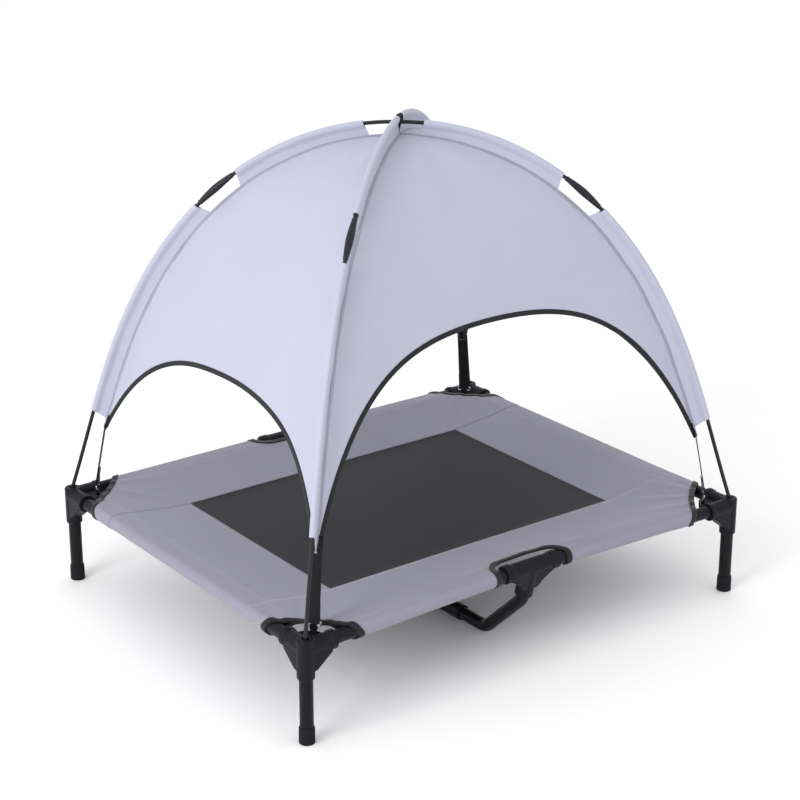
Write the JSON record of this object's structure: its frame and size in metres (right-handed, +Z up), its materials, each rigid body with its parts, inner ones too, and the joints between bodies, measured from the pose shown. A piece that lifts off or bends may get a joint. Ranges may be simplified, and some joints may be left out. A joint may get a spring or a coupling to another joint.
{
  "type": "raised dog bed with canopy",
  "caption": "Raised dog cot: steel tube frame, grey sling with mesh centre, under-bed brace, and a dome canopy on crossed flexible poles that lifts off.",
  "frame": {"origin": "on the floor under the middle of the bed", "axes": "+Z up, +X along the long side towards the right, +Y towards the back"},
  "size_m": [0.9306, 0.7626, 0.8568],
  "materials": {
    "painted_steel": "satin black powder coat",
    "moulded_black": "matte black moulded plastic",
    "rubber_black": "matte black rubber",
    "oxford_grey": "coated Oxford cloth, plain weave",
    "mesh_charcoal": "open woven mesh",
    "canopy_grey": "light coated polyester, plain weave",
    "rod_black": "black pultruded fibreglass rod",
    "webbing_black": "woven webbing and binding tape"
  },
  "bodies": {
    "frame": {"brace_sleeve": "painted_steel", "brace_tube_back": "painted_steel", "brace_tube_front": "painted_steel", "corner_connector_back_left": "moulded_black", "corner_connector_back_right": "moulded_black", "corner_connector_front_left": "moulded_black", "corner_connector_front_right": "moulded_black", "foot_cap_back_left": "rubber_black", "foot_cap_back_right": "rubber_black", "foot_cap_front_left": "rubber_black", "foot_cap_front_right": "rubber_black", "leg_tube_back_left": "painted_steel", "leg_tube_back_right": "painted_steel", "leg_tube_front_left": "painted_steel", "leg_tube_front_right": "painted_steel", "rail_back_left": "painted_steel", "rail_back_right": "painted_steel", "rail_front_left": "painted_steel", "rail_front_right": "painted_steel", "rail_side_left": "painted_steel", "rail_side_right": "painted_steel", "sling_border_back": "oxford_grey", "sling_border_front": "oxford_grey", "sling_border_left": "oxford_grey", "sling_border_right": "oxford_grey", "sling_mesh_centre": "mesh_charcoal", "tee_connector_back": "moulded_black", "tee_connector_front": "moulded_black"},
    "canopy": {"canopy_panel_back": "canopy_grey", "canopy_panel_front": "canopy_grey", "canopy_panel_left": "canopy_grey", "canopy_panel_right": "canopy_grey", "corner_strap_back_left": "webbing_black", "corner_strap_back_right": "webbing_black", "corner_strap_front_left": "webbing_black", "corner_strap_front_right": "webbing_black", "crossing_tie": "webbing_black", "pole_a_lower_back_right": "rod_black", "pole_a_lower_front_left": "rod_black", "pole_a_middle": "rod_black", "pole_b_lower_back_left": "rod_black", "pole_b_lower_front_right": "rod_black", "pole_b_middle": "rod_black", "pole_ferrule_back_left": "rod_black", "pole_ferrule_back_right": "rod_black", "pole_ferrule_front_left": "rod_black", "pole_ferrule_front_right": "rod_black", "pole_sleeve_lower_back_left": "canopy_grey", "pole_sleeve_lower_back_right": "canopy_grey", "pole_sleeve_lower_front_left": "canopy_grey", "pole_sleeve_lower_front_right": "canopy_grey", "pole_sleeve_upper_back_left": "canopy_grey", "pole_sleeve_upper_back_right": "canopy_grey", "pole_sleeve_upper_front_left": "canopy_grey", "pole_sleeve_upper_front_right": "canopy_grey", "strap_hook_back_left": "moulded_black", "strap_hook_back_right": "moulded_black", "strap_hook_front_left": "moulded_black", "strap_hook_front_right": "moulded_black"}
  },
  "joints": [
    {"name": "canopy_lift", "type": "slide", "parent": "frame", "child": "canopy", "axis": [0, 0, 1], "range_m": [0, 0.3]}
  ]
}
